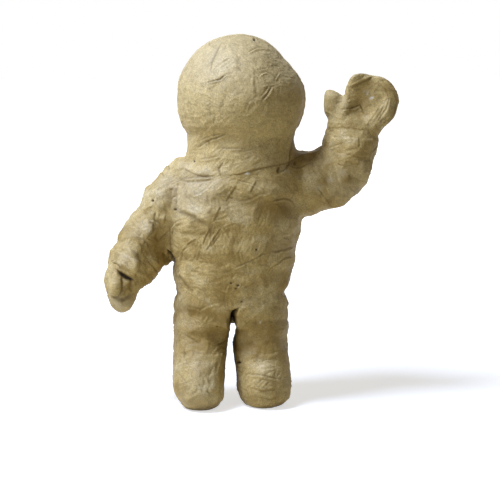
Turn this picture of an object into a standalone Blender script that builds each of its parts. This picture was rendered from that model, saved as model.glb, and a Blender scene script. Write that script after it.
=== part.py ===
"""Papier-mache astronaut figure, standing and waving, built piece by piece.

The helmet and the trunk are hollow shells of laid-up paper, each in a front and a back half.
The limbs are paper wrapped over rolled cores. Kraft paper bands and strips cover the joints.
Metres, +Z up. The figure faces -Y, so its right arm is at -X. It stands on z = 0.
"""

import math

import bmesh
import bpy
import numpy as np
from mathutils import Vector

# Paper and card
SEAT_GAP = 0.0003  # clearance between pieces that are glued together
LAY_UP = 0.0025  # wall of the laid-up helmet and trunk
STRIP_THICKNESS = 0.0008  # kraft paper strip, two layers
SEAM_STRIP_WIDTH = 0.012

# Soles, leg tubes and boots
SOLE_THICKNESS = 0.0015
SOLE_INSET = 0.0008  # edge of the card sole, in from the boot above it
LEG_SPACING = 0.0394  # between the axes of the two legs
LEG_TUBE_RADIUS = 0.0095
LEG_TUBE_WALL = 0.0015
LEG_HALF_WIDTH = 0.0172
LEG_HALF_DEPTH = 0.0195
LEG_FLARE = 0.0035  # extra half depth of the leg where it meets the trunk
LEG_WRAP_HEIGHT = 0.0154
RIGHT_STEP = 0.0050  # the right toe stands this much further forward
BOOT_SECTIONS = (  # rise, shift away from the other leg, half width, reach to the toe, reach to the heel
    (0.0, 0.0014, 0.0136, 0.0264, 0.0150),
    (0.0050, 0.0014, 0.0160, 0.0308, 0.0176),
    (0.0075, 0.0012, 0.0166, 0.0322, 0.0192),
    (0.0095, 0.0009, 0.0167, 0.0298, 0.0195),
    (0.0080, 0.0004, 0.0168, 0.0246, 0.0195),
    (0.0045, 0.0, 0.0170, 0.0210, 0.0195),
)
TOE_CAP_SPREAD = 0.19  # half of the toe cap's share of the way round the boot
TOE_CAP_FROM = 0.16
TOE_CAP_TO = 0.90

# Trunk and hip disc
TRUNK_SECTIONS = (  # rise, lean to the left, half width, half depth past the top of the legs
    (0.0, 0.0, 0.0368, 0.0020),  # hips
    (0.0100, 0.0, 0.0364, 0.0055),
    (0.0130, 0.0004, 0.0350, 0.0075),  # waist
    (0.0200, 0.0012, 0.0392, 0.0105),  # belly
    (0.0180, 0.0017, 0.0422, 0.0120),
    (0.0190, 0.0030, 0.0428, 0.0130),  # chest
    (0.0150, 0.0045, 0.0415, 0.0125),  # shoulders
    (0.0080, 0.0056, 0.0375, 0.0105),
)
TRUNK_TOP_RISE = 0.0030  # from the last section to the ledge round the neck hole
COLLAR_LEDGE = 0.0055  # width of that ledge
LEDGE_CROWN = 0.0005  # the ledge rises this much towards the hole
HIP_DISC_THICKNESS = 0.0020
TRUNK_FOLDS = 8.5  # folds of the suit from the hips to the shoulders
TRUNK_FOLD_DEPTH = 0.0008

# Helmet and neck
HELMET_RADIUS = 0.0408
HELMET_OVERHANG = 0.0068  # the ball stands out this much past the neck band
NECK_GAP = 0.0074  # from the trunk's ledge to the helmet's rim
NECK_LEAN = 0.0062
NECK_PADDING = 0.0090  # from the card tube out to the face of the neck band
NECK_FLARE = 0.0012  # the band widens this much towards the shoulders
NECK_BAND_DROP = 0.0045  # the band laps this far down over the trunk
NECK_TUBE_WALL = 0.0020
NECK_TUBE_GRIP = 0.0070  # length of tube inside the helmet, and inside the trunk

# Arms
SHOULDER_INSET = 0.0185  # root of each arm, in from the side of the trunk
RIGHT_SHOULDER_DROP = 0.0006  # root of each arm, below the shoulder section
LEFT_SHOULDER_DROP = 0.0065
CORE_RADIUS = 0.0065  # rolled newspaper
CORE_START = 0.08  # place along the arm where its core begins, inside the trunk
CORE_GRIP = 0.0110  # length of core inside the hand
RIGHT_ARM = (  # step from the shoulder in x, y and z, half width, half depth
    (0.0, 0.0, 0.0, 0.0210, 0.0200),
    (-0.0225, -0.0010, -0.0182, 0.0182, 0.0180),
    (-0.0354, -0.0035, -0.0368, 0.0162, 0.0165),
    (-0.0442, -0.0070, -0.0512, 0.0170, 0.0160),
    (-0.0486, -0.0095, -0.0596, 0.0152, 0.0145),
)
LEFT_ARM = (
    (0.0, 0.0, 0.0, 0.0225, 0.0210),
    (0.0212, 0.0, 0.0030, 0.0212, 0.0195),
    (0.0427, 0.0, 0.0100, 0.0188, 0.0185),
    (0.0484, -0.0010, 0.0226, 0.0178, 0.0172),
    (0.0506, -0.0020, 0.0352, 0.0160, 0.0156),
)
ARM_FOLDS = 5.0
ARM_FOLD_DEPTH = 0.0007
WRIST_BAND_FROM = 0.80  # place of the wrist band along the sleeve
WRIST_BAND_TO = 0.96

# Hands
RIGHT_MITT = (  # step outward, forward and along the arm from the wrist, half width, half depth
    (0.0, 0.0, 0.0, 0.0135, 0.0125),
    (0.0004, -0.0002, 0.0040, 0.0132, 0.0122),
    (0.0004, -0.0010, 0.0090, 0.0120, 0.0112),
    (-0.0022, -0.0030, 0.0168, 0.0094, 0.0088),
    (-0.0046, -0.0048, 0.0224, 0.0057, 0.0050),
    (-0.0054, -0.0055, 0.0243, 0.0022, 0.0020),
)
RIGHT_THUMB = (
    (0.0019, 0.0047, 0.0056, 0.0050, 0.0045),
    (0.0023, 0.0079, 0.0112, 0.0058, 0.0052),
    (0.0006, 0.0073, 0.0171, 0.0055, 0.0050),
    (-0.0018, 0.0048, 0.0210, 0.0042, 0.0040),
    (-0.0033, 0.0028, 0.0226, 0.0015, 0.0015),
)
LEFT_MITT = (
    (0.0, 0.0, 0.0, 0.0158, 0.0130),
    (0.0004, 0.0, 0.0040, 0.0163, 0.0122),
    (0.0042, -0.0008, 0.0100, 0.0172, 0.0105),
    (0.0082, -0.0018, 0.0180, 0.0179, 0.0088),
    (0.0086, -0.0022, 0.0260, 0.0177, 0.0076),
    (0.0064, -0.0016, 0.0332, 0.0150, 0.0062),
    (0.0046, -0.0008, 0.0376, 0.0108, 0.0045),
    (0.0044, -0.0005, 0.0390, 0.0062, 0.0025),
)
LEFT_MITT_CUP = 0.0060  # the edges of the palm curl forward this much
LEFT_THUMB = (
    (-0.0098, 0.0005, 0.0060, 0.0050, 0.0050),
    (-0.0126, 0.0006, 0.0110, 0.0064, 0.0060),
    (-0.0152, 0.0008, 0.0180, 0.0064, 0.0062),
    (-0.0167, 0.0008, 0.0228, 0.0054, 0.0056),
    (-0.0175, 0.0008, 0.0250, 0.0036, 0.0038),
    (-0.0177, 0.0008, 0.0259, 0.0016, 0.0016),
)

# Mesh density and round corners
TRUNK_COLUMNS = 28
TRUNK_ROWS = 26
HELMET_COLUMNS = 28
HELMET_ROWS = 16
BOOT_COLUMNS = 22
BOOT_ROWS = 9
LIMB_COLUMNS = 18
LIMB_ROWS = 16
CORE_COLUMNS = 10
TUBE_STEPS = 20
NECK_STEPS = 40
BODY_ROUNDNESS = 2.3  # exponent of the oval sections: 2 is an ellipse, more is squarer
LIMB_ROUNDNESS = 2.15
CUTTER_REACH = 0.002  # cutters run this much past what they cut
WELD = 0.00002
SMOOTH_ANGLE = math.radians(50)
FRONT = Vector((0, -1, 0))


def smooth(keys, t):
    """Values on a smooth curve through evenly spaced keys, for t from 0 to 1."""
    last = len(keys) - 1
    span = min(int(t * last), last - 1)
    f = t * last - span
    a, b, c, d = (np.array(keys[min(max(span + k, 0), last)]) for k in (-1, 0, 1, 2))
    return b + 0.5 * f * (c - a + f * (2 * a - 5 * b + 4 * c - d + f * (3 * b - a - 3 * c + d)))


def oval(turn, roundness):
    """A point of a rounded oval of half size 1: turn 0 is the side, a quarter turn is the front."""
    c, s = math.cos(turn * math.tau), math.sin(turn * math.tau)
    power = 2 / roundness
    return math.copysign(abs(c) ** power, c), math.copysign(abs(s) ** power, s)


class Form:
    """A rounded body: u runs once round it and v along it, both from 0 to 1."""

    def __init__(self, place, fold=None):
        self.place = place
        self.fold = fold or (lambda u, v: 0.0)

    def normal(self, u, v):
        small = 0.001
        v = min(max(v, small), 1 - small)
        across = self.place(u + small, v) - self.place(u - small, v)
        along = self.place(u, v + small) - self.place(u, v - small)
        return along.cross(across).normalized()

    def at(self, u, v, lift):
        """The point that lies lift outside the surface. Below the surface there are no folds."""
        fold = self.fold(u, v) if lift >= 0 else 0.0
        return self.place(u, v) + self.normal(u, v) * (fold + lift)

    def station(self, height):
        """The v at which an upright form reaches a height."""
        low, high = 0.0, 1.0
        for _ in range(30):
            middle = (low + high) / 2
            if self.place(0, middle).z < height:
                low = middle
            else:
                high = middle
        return low


def stacked_form(sections, roundness, fold=None):
    """A form of level sections: height, centre x, centre y, half width, half depth."""

    def place(u, v):
        height, x, y, half_width, half_depth = smooth(sections, min(max(v, 0), 1))
        c, s = oval(u, roundness)
        return Vector((x + half_width * c, y - half_depth * s, height))

    return Form(place, fold)


def limb_form(root, steps, fold=None):
    """A form of sections square to a path: step from the root in x, y, z, half width, half depth."""

    def centre(v):
        return Vector(smooth(steps, min(max(v, 0), 1))[:3])

    def place(u, v):
        small = 0.0005
        along = (centre(v + small) - centre(v - small)).normalized()
        side = along.cross(FRONT).normalized()
        face = side.cross(along)
        half_width, half_depth = smooth(steps, min(max(v, 0), 1))[3:]
        c, s = oval(u, LIMB_ROUNDNESS)
        return root + centre(v) + side * (half_width * c) + face * (half_depth * s)

    return Form(place, fold)


def ball_form(centre, radius):
    """A ball whose poles face the front (v = 0) and the back (v = 1)."""

    def place(u, v):
        ring = math.sin(v * math.pi) * radius
        depth = -math.cos(v * math.pi) * radius
        turn = u * math.tau
        return centre + Vector((ring * math.sin(turn), depth, -ring * math.cos(turn)))

    return Form(place)


def ring_folds(count, depth, wander):
    """Soft folds that run round a sleeve or the trunk, faded out at both ends."""

    def fold(u, v):
        drift = wander * math.sin(u * math.tau + 4.0 * v) + 0.5 * wander * math.sin(2 * u * math.tau + 1.0)
        fade = max(0.0, min(1.0, 6 * v, 5 * (0.9 - v)))
        return depth * fade * math.sin(math.tau * (count * v + drift))

    return fold


def finish_mesh(bm):
    bmesh.ops.remove_doubles(bm, verts=bm.verts, dist=WELD)
    loose = [edge for edge in bm.edges if not edge.link_faces]
    bmesh.ops.delete(bm, geom=loose, context="EDGES")
    bmesh.ops.recalc_face_normals(bm, faces=bm.faces)
    return bm


def grid_points(bm, form, turns, stations, lift):
    return [[bm.verts.new(form.at(u, v, lift)) for u in turns] for v in stations]


def grid_steps(start, end, count):
    """The start, the end and all the lines between them of a grid with count steps from 0 to 1."""
    lines = [k / count for k in range(math.floor(start * count), math.ceil(end * count) + 1)]
    margin = 0.1 / count
    return [start, *(line for line in lines if start + margin < line < end - margin), end]


def sheet(form, around, along, low, high, columns, rows):
    """A curved sheet of paper on a form, from low to high above its surface, on the form's own grid."""
    bm = bmesh.new()
    wraps = around[1] - around[0] >= 1
    turns = grid_steps(*around, columns)
    pairs = [(i, (i + 1) % (len(turns) - 1 if wraps else len(turns))) for i in range(len(turns) - 1)]
    if wraps:
        turns.pop()
    stations = grid_steps(*along, rows)
    outer = grid_points(bm, form, turns, stations, high)
    inner = grid_points(bm, form, turns, stations, low)
    for j in range(len(stations) - 1):
        for i, k in pairs:
            bm.faces.new((outer[j][i], outer[j][k], outer[j + 1][k], outer[j + 1][i]))
            bm.faces.new((inner[j + 1][i], inner[j + 1][k], inner[j][k], inner[j][i]))
        if not wraps:
            bm.faces.new((outer[j][0], outer[j + 1][0], inner[j + 1][0], inner[j][0]))
            bm.faces.new((inner[j][-1], inner[j + 1][-1], outer[j + 1][-1], outer[j][-1]))
    for i, k in pairs:
        bm.faces.new((outer[0][k], outer[0][i], inner[0][i], inner[0][k]))
        bm.faces.new((inner[-1][k], inner[-1][i], outer[-1][i], outer[-1][k]))
    return finish_mesh(bm)


def pasted(form, around, along, columns, rows):
    """A paper strip on the outside of a form, a glue gap away from it."""
    return sheet(form, around, along, SEAT_GAP, SEAT_GAP + STRIP_THICKNESS, columns, rows)


def loft(form, along, lift, columns, rows):
    """A filled body along a form, closed by a flat face at each end."""
    bm = bmesh.new()
    turns = grid_steps(0, 1, columns)[:-1]
    rings = grid_points(bm, form, turns, grid_steps(*along, rows), lift)
    for low, high in zip(rings, rings[1:]):
        for i in range(columns):
            k = (i + 1) % columns
            bm.faces.new((low[i], low[k], high[k], high[i]))
    bm.faces.new(rings[0])
    bm.faces.new(rings[-1])
    return finish_mesh(bm)


def paper(name, colour, roughness):
    material = bpy.data.materials.new(name)
    material.use_nodes = True
    shader = material.node_tree.nodes["Principled BSDF"]
    shader.inputs["Base Color"].default_value = (*colour, 1)
    shader.inputs["Roughness"].default_value = roughness
    shader.inputs["Metallic"].default_value = 0.0
    return material


def add_object(name, data, origin, material):
    """Puts a mesh or curve of the figure in its collection, with its own origin."""
    obj = bpy.data.objects.new(name, data)
    obj.location = origin
    obj.parent = FIGURE
    obj.data.materials.append(material)
    PARTS.objects.link(obj)
    return obj


def add_mesh(name, bm, origin, material):
    bmesh.ops.translate(bm, verts=bm.verts, vec=-Vector(origin))
    mesh = bpy.data.meshes.new(name)
    bm.to_mesh(mesh)
    bm.free()
    mesh.shade_smooth()
    mesh.set_sharp_from_angle(angle=SMOOTH_ANGLE)
    return add_object(name, mesh, origin, material)


def as_cutter(obj):
    """Turns an object of the figure into a tool that only cuts others."""
    PARTS.objects.unlink(obj)
    CUTTERS.objects.link(obj)
    obj.hide_render = True
    obj.display_type = "WIRE"
    return obj


def add_cutter(name, bm):
    return as_cutter(add_mesh(name, bm, (0, 0, 0), KRAFT))


def cut(obj, *cutters):
    for cutter in cutters:
        boolean = obj.modifiers.new(f"clear_of_{cutter.name}", "BOOLEAN")
        boolean.operation = "DIFFERENCE"
        boolean.object = cutter


def turned(name, profile, origin, steps, material):
    """A turned ring: a closed profile of radius and height, listed down its outer side, with a Screw."""
    mesh = bpy.data.meshes.new(name)
    ends = [(k, (k + 1) % len(profile)) for k in range(len(profile))]
    mesh.from_pydata([(radius, 0, height) for radius, height in profile], ends, [])
    obj = add_object(name, mesh, origin, material)
    screw = obj.modifiers.new("turn", "SCREW")
    screw.steps = screw.render_steps = steps
    screw.use_merge_vertices = True
    screw.merge_threshold = WELD
    return obj


def rod(bottom, top, radius, steps):
    """A plain upright cylinder between two points."""
    bm = bmesh.new()
    bmesh.ops.create_cone(
        bm, cap_ends=True, segments=steps, radius1=radius, radius2=radius, depth=top.z - bottom.z
    )
    bmesh.ops.translate(bm, verts=bm.verts, vec=(bottom + top) / 2)
    return bm


def card(name, outline, centre, thickness, material):
    """A flat piece of card: a closed outline, extruded both ways from its middle."""
    curve = bpy.data.curves.new(name, "CURVE")
    curve.dimensions = "2D"
    curve.fill_mode = "BOTH"
    curve.extrude = thickness / 2
    spline = curve.splines.new("POLY")
    spline.points.add(len(outline) - 1)
    for point, place in zip(spline.points, outline):
        point.co = (place.x - centre.x, place.y - centre.y, 0, 1)
    spline.use_cyclic_u = True
    return add_object(name, curve, centre, material)


def rising(sections):
    """Sections with their rises added up to heights."""
    heights = np.cumsum([section[0] for section in sections])
    return [(height, *section[1:]) for height, section in zip(heights, sections)]


# Heights and depths worked out from the sizes above
BOOT_BOTTOM = SOLE_THICKNESS + SEAT_GAP
BOOT_TOP = BOOT_BOTTOM + sum(section[0] for section in BOOT_SECTIONS)
LEG_BOTTOM = BOOT_TOP + SEAT_GAP
LEG_TOP = LEG_BOTTOM + LEG_WRAP_HEIGHT
LEG_TOP_DEPTH = LEG_HALF_DEPTH + LEG_FLARE
TRUNK_BOTTOM = LEG_TOP + SEAT_GAP
TRUNK_LEVELS = [(TRUNK_BOTTOM + h, lean, w, LEG_TOP_DEPTH + d) for h, lean, w, d in rising(TRUNK_SECTIONS)]
CHEST_DEPTH = max(level[3] for level in TRUNK_LEVELS)
NECK_RADIUS = HELMET_RADIUS - HELMET_OVERHANG
NECK_TUBE_RADIUS = NECK_RADIUS - NECK_PADDING
NECK_HOLE = NECK_TUBE_RADIUS + SEAT_GAP
TRUNK_TOP = TRUNK_LEVELS[-1][0] + TRUNK_TOP_RISE + LEDGE_CROWN
HELMET_RIM = TRUNK_TOP + NECK_GAP
HELMET_CENTRE = Vector((NECK_LEAN, 0, HELMET_RIM + math.sqrt(HELMET_RADIUS**2 - NECK_HOLE**2)))


def trunk_form():
    sections = [(height, lean, 0, w, d) for height, lean, w, d in TRUNK_LEVELS]
    ledge = NECK_HOLE + COLLAR_LEDGE
    sections.append((TRUNK_TOP - LEDGE_CROWN, NECK_LEAN, 0, ledge, ledge))
    sections.append((TRUNK_TOP, NECK_LEAN, 0, NECK_HOLE, NECK_HOLE))
    return stacked_form(sections, BODY_ROUNDNESS, ring_folds(TRUNK_FOLDS, TRUNK_FOLD_DEPTH, 0.12))


def side_turn(reach, half_depth):
    """How far round from the side of the trunk a point lies that is reach in front of the side."""
    return math.asin((reach / half_depth) ** (BODY_ROUNDNESS / 2)) / math.tau


def boot_form(side, step):
    """The boot of one leg: side is -1 for the right and 1 for the left."""
    sections = []
    for height, shift, half_width, toe, heel in rising(BOOT_SECTIONS):
        x = side * (LEG_SPACING / 2 + shift)
        reach = toe + step
        sections.append((BOOT_BOTTOM + height, x, (heel - reach) / 2, half_width, (heel + reach) / 2))
    return stacked_form(sections, BODY_ROUNDNESS)


def leg_form(side):
    x = side * LEG_SPACING / 2
    sections = [
        (LEG_BOTTOM, x, 0, LEG_HALF_WIDTH, LEG_HALF_DEPTH),
        ((LEG_BOTTOM + LEG_TOP) / 2, x, 0, LEG_HALF_WIDTH, LEG_HALF_DEPTH + LEG_FLARE / 3),
        (LEG_TOP, x, 0, LEG_HALF_WIDTH, LEG_TOP_DEPTH),
    ]
    return stacked_form(sections, BODY_ROUNDNESS)


def build_leg(name, side, step):
    """Card sole, card tube, boot with its toe cap, and the wrapped leg above it."""
    axis = Vector((side * LEG_SPACING / 2, 0, 0))
    boot, leg = boot_form(side, step), leg_form(side)
    foot = Vector((axis.x, 0, BOOT_BOTTOM))

    sole_centre = Vector((axis.x, 0, SOLE_THICKNESS / 2))
    outline = [boot.at(u, 0, -SOLE_INSET) for u in grid_steps(0, 1, BOOT_COLUMNS)[:-1]]
    card(f"{name}_sole", outline, sole_centre, SOLE_THICKNESS, CARD)

    bottom, top = BOOT_BOTTOM, TRUNK_BOTTOM - SEAT_GAP
    inner = LEG_TUBE_RADIUS - LEG_TUBE_WALL
    profile = ((LEG_TUBE_RADIUS, top), (LEG_TUBE_RADIUS, bottom), (inner, bottom), (inner, top))
    turned(f"{name}_leg_tube", profile, axis, TUBE_STEPS, CARD)

    low = axis + Vector((0, 0, BOOT_BOTTOM - CUTTER_REACH))
    high = axis + Vector((0, 0, TRUNK_BOTTOM + CUTTER_REACH))
    bore = add_cutter(f"{name}_tube_bore", rod(low, high, LEG_TUBE_RADIUS + SEAT_GAP, TUBE_STEPS))
    shoe = add_mesh(f"{name}_boot", loft(boot, (0, 1), 0, BOOT_COLUMNS, BOOT_ROWS), foot, KRAFT)
    cut(shoe, bore)
    toe = (0.25 - TOE_CAP_SPREAD, 0.25 + TOE_CAP_SPREAD)
    patch = pasted(boot, toe, (TOE_CAP_FROM, TOE_CAP_TO), BOOT_COLUMNS, BOOT_ROWS)
    add_mesh(f"{name}_toe_cap", patch, foot, KRAFT)
    knee = Vector((axis.x, 0, LEG_BOTTOM))
    wrap = add_mesh(f"{name}_leg_wrap", loft(leg, (0, 1), 0, BOOT_COLUMNS, 4), knee, KRAFT)
    cut(wrap, bore)


def build_trunk(trunk, cores):
    """Two half shells with a hole for each arm core, and the card disc at the hips."""
    origin = Vector((0, 0, TRUNK_BOTTOM))
    parting = side_turn(SEAT_GAP / 2, TRUNK_LEVELS[0][3])
    for name, start in (("front", 0.0), ("back", 0.5)):
        around = (start + parting, start + 0.5 - parting)
        half = sheet(trunk, around, (0, 1), -LAY_UP, 0, TRUNK_COLUMNS, TRUNK_ROWS)
        shell = add_mesh(f"trunk_{name}_shell", half, origin, KRAFT)
        cut(shell, *cores)
    inset = LAY_UP + SEAT_GAP
    outline = [trunk.at(u, 0, -inset) for u in grid_steps(0, 1, TRUNK_COLUMNS)[:-1]]
    middle = origin + Vector((0, 0, HIP_DISC_THICKNESS / 2))
    card("hip_disc", outline, middle, HIP_DISC_THICKNESS, CARD)


def build_trunk_strip(name, trunk, middle, arm, arm_height):
    """The strip over one side seam, from the hips up to the arm that covers the rest."""
    spread = side_turn(SEAM_STRIP_WIDTH / 2, CHEST_DEPTH)
    along = (trunk.station(TRUNK_BOTTOM + SEAT_GAP), trunk.station(arm_height))
    around = (middle - spread, middle + spread)
    strip = pasted(trunk, around, along, TRUNK_COLUMNS, TRUNK_ROWS)
    cut(add_mesh(name, strip, Vector((0, 0, TRUNK_BOTTOM)), KRAFT), arm)


def build_helmet():
    """Two bowls with a notch for the neck tube, and the strip over the seam between them."""
    ball = ball_form(HELMET_CENTRE, HELMET_RADIUS)
    low = Vector((NECK_LEAN, 0, HELMET_CENTRE.z - HELMET_RADIUS - CUTTER_REACH))
    hole = add_cutter("helmet_neck_hole", rod(low, HELMET_CENTRE, NECK_HOLE, NECK_STEPS))
    parting = SEAT_GAP / 2 / (math.pi * HELMET_RADIUS)
    for name, along in (("front", (0, 0.5 - parting)), ("back", (0.5 + parting, 1))):
        bowl = sheet(ball, (0, 1), along, -LAY_UP, 0, HELMET_COLUMNS, HELMET_ROWS)
        cut(add_mesh(f"helmet_{name}_shell", bowl, HELMET_CENTRE, KRAFT), hole)
    neck = math.asin(NECK_RADIUS / HELMET_RADIUS) / math.tau
    margin = SEAM_STRIP_WIDTH / 2 / (math.tau * HELMET_RADIUS)
    width = SEAM_STRIP_WIDTH / 2 / (math.pi * HELMET_RADIUS)
    around = (neck + margin, 1 - neck - margin)
    strip = pasted(ball, around, (0.5 - width, 0.5 + width), HELMET_COLUMNS, HELMET_ROWS)
    add_mesh("helmet_seam_strip", strip, HELMET_CENTRE, KRAFT)


def neck_profile(lift, inner):
    """The neck band's section: its outer face from the helmet down over the shoulders, and its bore."""
    top = HELMET_CENTRE.z - math.sqrt(HELMET_RADIUS**2 - NECK_RADIUS**2) + CUTTER_REACH
    bottom = TRUNK_TOP - NECK_BAND_DROP
    return (
        (NECK_RADIUS + lift, top + lift),
        (NECK_RADIUS + lift, (top + TRUNK_TOP) / 2),
        (NECK_RADIUS + NECK_FLARE / 2 + lift, TRUNK_TOP),
        (NECK_RADIUS + NECK_FLARE + lift, bottom - lift),
        (inner, bottom - lift),
        (inner, top + lift),
    )


def build_neck(trunk_body):
    """The card tube that carries the helmet, and the kraft band round it."""
    axis = Vector((NECK_LEAN, 0, 0))
    bottom, top = TRUNK_TOP - NECK_TUBE_GRIP, HELMET_RIM + NECK_TUBE_GRIP
    inner = NECK_TUBE_RADIUS - NECK_TUBE_WALL
    profile = ((NECK_TUBE_RADIUS, top), (NECK_TUBE_RADIUS, bottom), (inner, bottom), (inner, top))
    turned("neck_tube", profile, axis, NECK_STEPS, CARD)
    band = turned("neck_band", neck_profile(0, NECK_HOLE), axis, NECK_STEPS, KRAFT)
    ball = loft(ball_form(HELMET_CENTRE, HELMET_RADIUS + SEAT_GAP), (0, 1), 0, NECK_STEPS, NECK_STEPS // 2)
    cut(band, trunk_body, add_cutter("helmet_body", ball))


def shoulder(side, drop):
    height, lean, half_width, _ = TRUNK_LEVELS[-2]
    return Vector((lean + side * (half_width - SHOULDER_INSET), 0, height - drop))


def core_steps(arm, extra):
    """The core's path: along the arm and on into the hand, with the radius of the core."""
    radius = CORE_RADIUS + extra
    path = [Vector(smooth(arm, v)[:3]) for v in grid_steps(CORE_START, 1, len(arm) - 1)]
    onward = (Vector(arm[-1][:3]) - Vector(arm[-2][:3])).normalized()
    path.append(path[-1] + onward * (CORE_GRIP + extra))
    return [(*point, radius, radius) for point in path]


def arm_piece(root, arm, lift):
    form = limb_form(root, arm, ring_folds(ARM_FOLDS, ARM_FOLD_DEPTH, 0.15))
    return form, loft(form, (0, 1), lift, LIMB_COLUMNS, LIMB_ROWS)


def build_arm(name, root, arm, core_bore, trunk_body, neck_body):
    """Rolled core, wrapped sleeve and wrist band of one arm."""
    core = loft(limb_form(root, core_steps(arm, 0)), (0, 1), 0, CORE_COLUMNS, LIMB_ROWS)
    add_mesh(f"{name}_arm_core", core, root, NEWSPRINT)
    form, body = arm_piece(root, arm, 0)
    sleeve = add_mesh(f"{name}_sleeve", body, root, KRAFT)
    cut(sleeve, trunk_body, neck_body, core_bore)
    band = pasted(form, (0, 1), (WRIST_BAND_FROM, WRIST_BAND_TO), LIMB_COLUMNS, LIMB_ROWS)
    add_mesh(f"{name}_wrist_band", band, root, KRAFT)


def hand_form(root, arm, steps, cup):
    """A form of sections square to the end of an arm, whose two edges curl forward by the cup."""
    along = (Vector(arm[-1][:3]) - Vector(arm[-2][:3])).normalized()
    outward = along.cross(FRONT).normalized()
    forward = outward.cross(along)
    wrist = root + Vector(arm[-1][:3]) + along * SEAT_GAP

    def place(u, v):
        out, ahead, on, half_width, half_depth = smooth(steps, min(max(v, 0), 1))
        c, s = oval(u, LIMB_ROUNDNESS)
        curl = cup * c**2 * min(1.0, max(0.0, v) * 2)
        sideways = outward * (out + half_width * c)
        return wrist + sideways + forward * (ahead + curl + half_depth * s) + along * on

    return Form(place)


def build_hand(name, palm, thumb, core_bore):
    """One mitt with a socket for the core, and its thumb set against it."""
    wrist = palm.place(0, 0)
    mitt = add_mesh(f"{name}_mitt", loft(palm, (0, 1), 0, LIMB_COLUMNS, LIMB_ROWS - 2), wrist, KRAFT)
    cut(mitt, core_bore)
    palm_body = add_cutter(f"{name}_mitt_body", loft(palm, (0, 1), SEAT_GAP, LIMB_COLUMNS, LIMB_ROWS - 2))
    finger = loft(thumb, (0, 1), 0, LIMB_COLUMNS - 4, LIMB_ROWS - 6)
    cut(add_mesh(f"{name}_thumb", finger, wrist, KRAFT), palm_body)


def stand_on_floor():
    """Moves the whole figure so that the middle of its box stands on the origin."""
    bpy.context.view_layer.update()
    depsgraph = bpy.context.evaluated_depsgraph_get()
    points = []
    for obj in PARTS.objects:
        solid = obj.evaluated_get(depsgraph)
        points += [solid.matrix_world @ vert.co for vert in solid.to_mesh().vertices]
    low = [min(point[k] for point in points) for k in range(3)]
    high = [max(point[k] for point in points) for k in range(3)]
    FIGURE.location = (-(low[0] + high[0]) / 2, -(low[1] + high[1]) / 2, -low[2])


def build_figure():
    trunk = trunk_form()
    trunk_body = add_cutter("trunk_body", loft(trunk, (0, 1), SEAT_GAP, TRUNK_COLUMNS, TRUNK_ROWS))
    neck_axis = Vector((NECK_LEAN, 0, 0))
    neck_ring = neck_profile(SEAT_GAP, CUTTER_REACH)
    neck_body = as_cutter(turned("neck_body", neck_ring, neck_axis, NECK_STEPS, KRAFT))
    bores = []
    arms = (
        ("right", shoulder(-1, RIGHT_SHOULDER_DROP), 0.5, RIGHT_ARM, RIGHT_MITT, RIGHT_THUMB, 0.0),
        ("left", shoulder(1, LEFT_SHOULDER_DROP), 0.0, LEFT_ARM, LEFT_MITT, LEFT_THUMB, LEFT_MITT_CUP),
    )
    for name, root, seam, arm, mitt, thumb, cup in arms:
        bore_form = limb_form(root, core_steps(arm, SEAT_GAP))
        bore = add_cutter(f"{name}_core_bore", loft(bore_form, (0, 1), 0, CORE_COLUMNS, LIMB_ROWS))
        bores.append(bore)
        build_arm(name, root, arm, bore, trunk_body, neck_body)
        arm_body = add_cutter(f"{name}_arm_body", arm_piece(root, arm, SEAT_GAP)[1])
        build_trunk_strip(f"trunk_{name}_seam_strip", trunk, seam, arm_body, root.z)
        build_hand(name, hand_form(root, arm, mitt, cup), hand_form(root, arm, thumb, 0), bore)
    build_trunk(trunk, bores)
    build_helmet()
    build_neck(trunk_body)
    build_leg("right", -1, RIGHT_STEP)
    build_leg("left", 1, 0.0)
    stand_on_floor()


for old in list(bpy.data.objects):
    bpy.data.objects.remove(old)
PARTS = bpy.data.collections.new("papier_mache_astronaut")
CUTTERS = bpy.data.collections.new("cutters")
for collection in (PARTS, CUTTERS):
    bpy.context.scene.collection.children.link(collection)
FIGURE = bpy.data.objects.new("astronaut_figure", None)
bpy.context.scene.collection.objects.link(FIGURE)
KRAFT = paper("kraft_paper", (0.46, 0.39, 0.25), 0.85)
CARD = paper("grey_card", (0.42, 0.36, 0.27), 0.9)
NEWSPRINT = paper("rolled_newsprint", (0.58, 0.56, 0.50), 0.9)
build_figure()
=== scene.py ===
"""Looks of the papier-mache astronaut figure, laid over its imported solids.

One paper skin is drawn over all the outer solids, worked with folds, laps, creases and pinholes, and then
parted along the solids into closed paper pieces. Metres, +Z up. The figure faces -Y.
"""

import math

import bmesh
import bpy
import numpy as np
from mathutils import Matrix, Vector, noise
from mathutils.bvhtree import BVHTree


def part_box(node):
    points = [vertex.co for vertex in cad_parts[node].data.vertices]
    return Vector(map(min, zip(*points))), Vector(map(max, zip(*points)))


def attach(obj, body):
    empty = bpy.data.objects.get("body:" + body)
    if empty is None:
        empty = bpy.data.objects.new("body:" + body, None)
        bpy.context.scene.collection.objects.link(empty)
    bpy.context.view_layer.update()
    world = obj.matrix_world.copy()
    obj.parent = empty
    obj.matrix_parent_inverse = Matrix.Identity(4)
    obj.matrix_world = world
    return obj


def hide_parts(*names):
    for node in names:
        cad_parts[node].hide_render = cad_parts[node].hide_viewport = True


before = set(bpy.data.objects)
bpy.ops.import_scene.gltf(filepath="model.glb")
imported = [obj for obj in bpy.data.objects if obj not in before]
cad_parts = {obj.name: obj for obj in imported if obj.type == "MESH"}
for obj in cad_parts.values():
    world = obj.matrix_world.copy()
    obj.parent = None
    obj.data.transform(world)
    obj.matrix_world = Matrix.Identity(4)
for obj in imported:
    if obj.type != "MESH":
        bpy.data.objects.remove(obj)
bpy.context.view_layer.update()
MM = 0.001

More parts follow.
